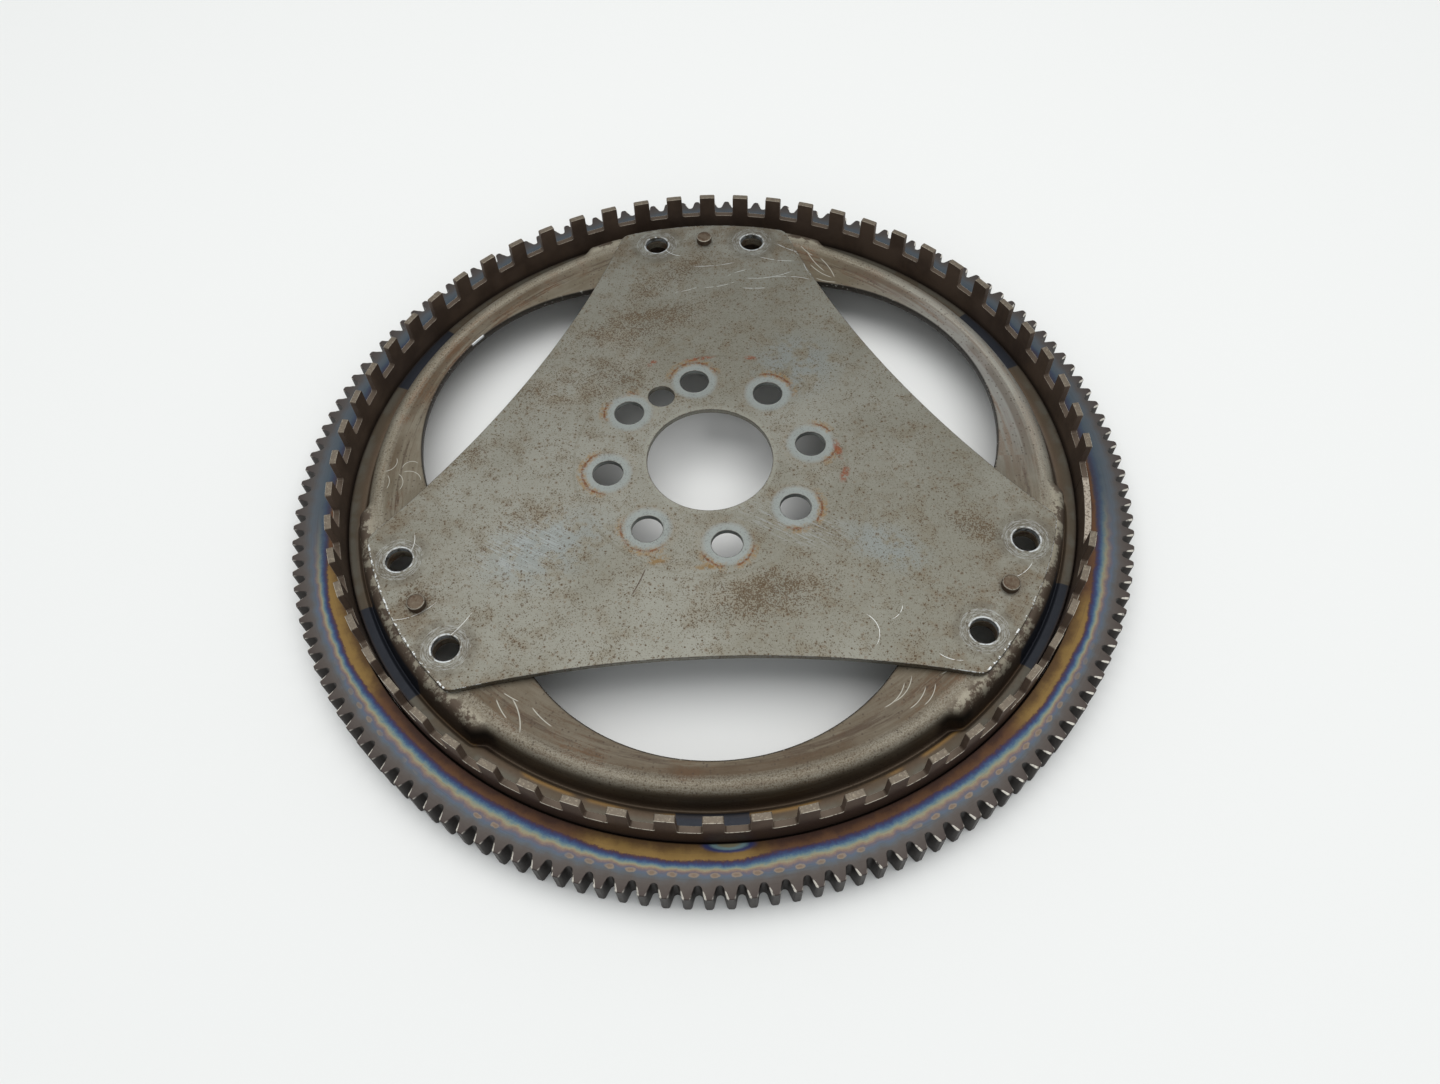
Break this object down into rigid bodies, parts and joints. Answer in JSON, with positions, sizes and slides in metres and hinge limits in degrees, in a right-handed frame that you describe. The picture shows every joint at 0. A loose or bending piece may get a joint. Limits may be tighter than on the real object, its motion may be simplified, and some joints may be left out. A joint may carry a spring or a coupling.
{
  "type": "flexplate",
  "caption": "Engine flexplate: three-armed spring disc riveted to a pressed rim that carries a toothed trigger ring and a starter ring gear.",
  "frame": {"origin": "on the disc's axis, in the plane the ring gear's engine-side face rests on", "axes": "+Z along the disc's axis towards the torque converter, +Y along the centre line of the first arm, +X to its right"},
  "size_m": [0.309, 0.309, 0.0298],
  "materials": {
    "plate_steel": "rolled spring steel, dull, with light rust speckle",
    "carrier_steel": "pressed steel, dull, stained brown",
    "trigger_steel": "dark brown oxide with bright worn tops",
    "gear_steel": "hardened steel, dark grey with bands of heat tint",
    "rivet_steel": "dull, stained brown",
    "weld_steel": "dark grey weld bead"
  },
  "bodies": {
    "root": {"flex_plate": "plate_steel", "rim_carrier": "carrier_steel", "trigger_ring": "trigger_steel", "starter_ring_gear": "gear_steel", "rivet_1": "rivet_steel", "rivet_2": "rivet_steel", "rivet_3": "rivet_steel", "rim_weld_1": "weld_steel", "rim_weld_2": "weld_steel", "rim_weld_3": "weld_steel", "rim_weld_4": "weld_steel", "rim_weld_5": "weld_steel", "rim_weld_6": "weld_steel"}
  },
  "joints": []
}
